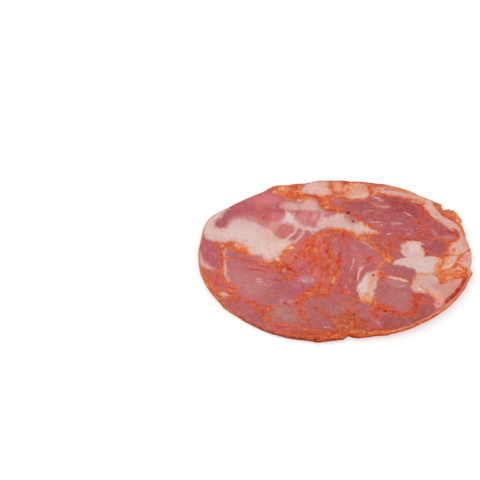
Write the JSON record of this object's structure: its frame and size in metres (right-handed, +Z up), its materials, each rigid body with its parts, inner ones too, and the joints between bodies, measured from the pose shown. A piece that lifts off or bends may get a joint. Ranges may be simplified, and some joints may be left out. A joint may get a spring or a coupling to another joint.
{
  "type": "slice of coppa",
  "caption": "Single thin oval slice of cooked, spiced coppa lying flat: pork neck muscles and fat bound by chilli paste inside a thin rind.",
  "frame": {"origin": "middle of the slice's bounding box, on the surface that the slice lies on", "axes": "+Z up through the slice, +X along the oval's long way, +Y along its short way, towards its upper edge in the picture"},
  "size_m": [0.1142, 0.0936, 0.0034],
  "materials": {
    "meat": "moist, slightly glossy cut meat with pale fat and orange paste"
  },
  "bodies": {
    "root": {"coppa_slice": "meat"}
  },
  "joints": []
}
